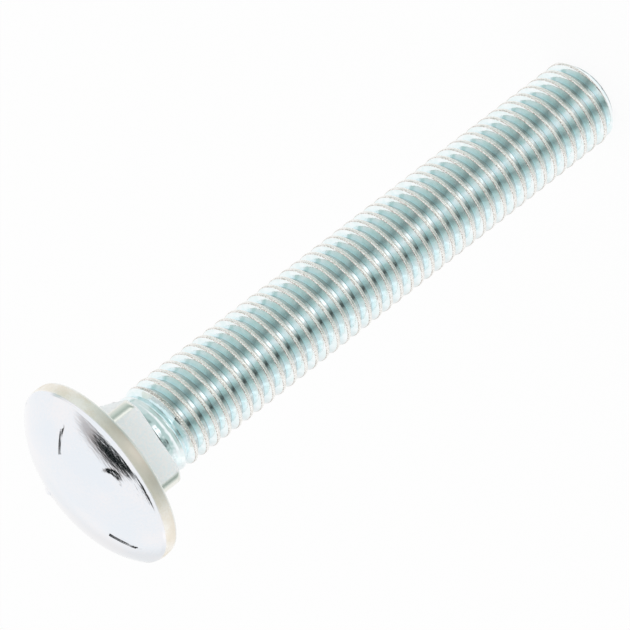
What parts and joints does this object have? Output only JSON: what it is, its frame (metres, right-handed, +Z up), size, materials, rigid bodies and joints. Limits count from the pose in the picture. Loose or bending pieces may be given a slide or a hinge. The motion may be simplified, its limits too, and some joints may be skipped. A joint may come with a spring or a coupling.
{
  "type": "carriage bolt",
  "caption": "Carriage bolt with a domed round head, a square neck and a right-hand coarse thread along its whole shank, standing on its tip.",
  "frame": {"origin": "on the surface that the bolt stands on, under the middle of the flat end of its tip", "axes": "+Z up along the bolt's axis, from its tip to the top of its head; X and Y square to the flats of the neck, with the side that the picture shows towards -Y"},
  "size_m": [0.0269, 0.0268, 0.0957],
  "materials": {
    "zinc": "bright zinc plating with a faint blue tint over forged and rolled steel"
  },
  "bodies": {
    "root": {"carriage_bolt": "zinc"}
  },
  "joints": []
}
